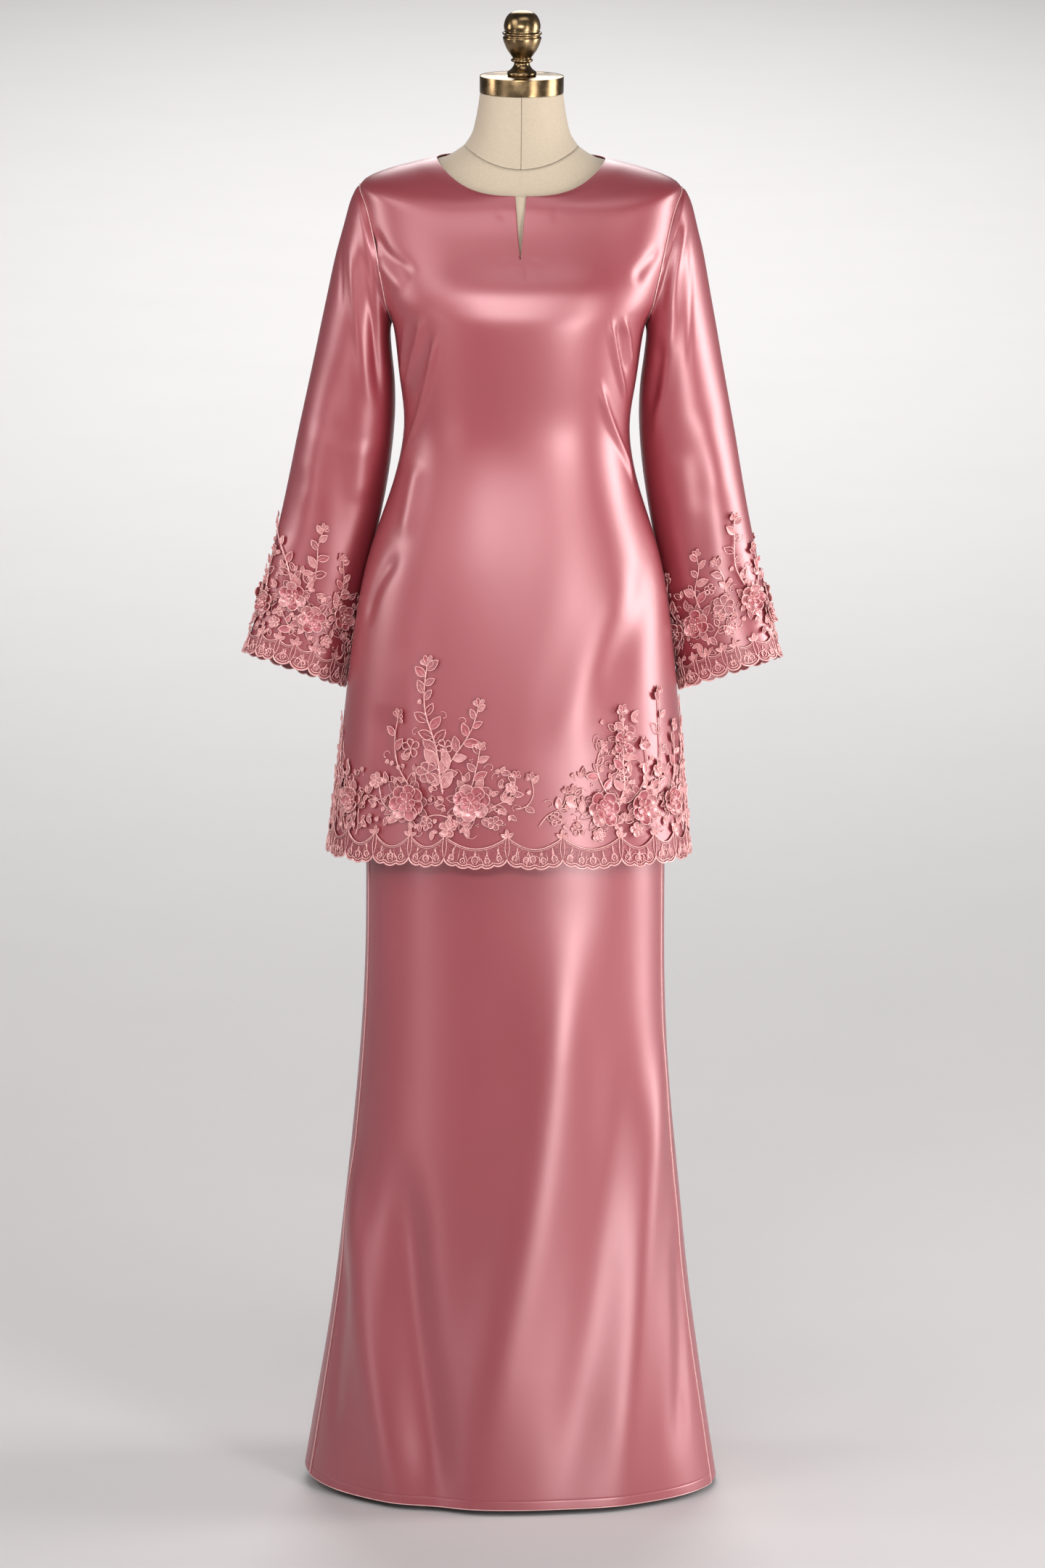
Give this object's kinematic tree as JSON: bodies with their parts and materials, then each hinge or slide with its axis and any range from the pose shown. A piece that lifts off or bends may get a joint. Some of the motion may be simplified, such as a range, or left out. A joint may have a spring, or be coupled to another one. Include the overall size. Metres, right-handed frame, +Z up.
{
  "type": "baju kurung on a dress form",
  "caption": "Long satin tunic with flared sleeves and lace-edged hem and cuffs over a flared satin skirt, on a limbless linen dress form with a round stand.",
  "frame": {"origin": "on the floor under the middle of the dress form and its stand", "axes": "+Z up, the front of the garment faces -Y, +X is to the viewer's right when looking at the front"},
  "size_m": [0.6208, 0.324, 1.7159],
  "materials": {
    "satin": "smooth dusty-rose satin with a strong soft sheen",
    "lace": "corded and embroidered lace on net, slightly paler than the satin",
    "elastic": "woven elastic covered in matching satin",
    "linen": "natural plain-weave linen stretched over the form",
    "brass": "satin-polished, a little aged",
    "steel": "brushed",
    "iron": "black paint on cast iron"
  },
  "bodies": {
    "root": {"tunic_front": "satin", "tunic_back": "satin", "sleeve_right": "satin", "sleeve_left": "satin", "skirt_front": "satin", "skirt_back": "satin", "skirt_waistband": "elastic", "hem_lace_front": "lace", "hem_lace_back": "lace", "cuff_lace_right": "lace", "cuff_lace_left": "lace", "form_torso": "linen", "form_neck": "linen", "neck_cap": "brass", "finial": "brass", "stand_base": "iron", "stand_pole": "steel"}
  },
  "joints": []
}
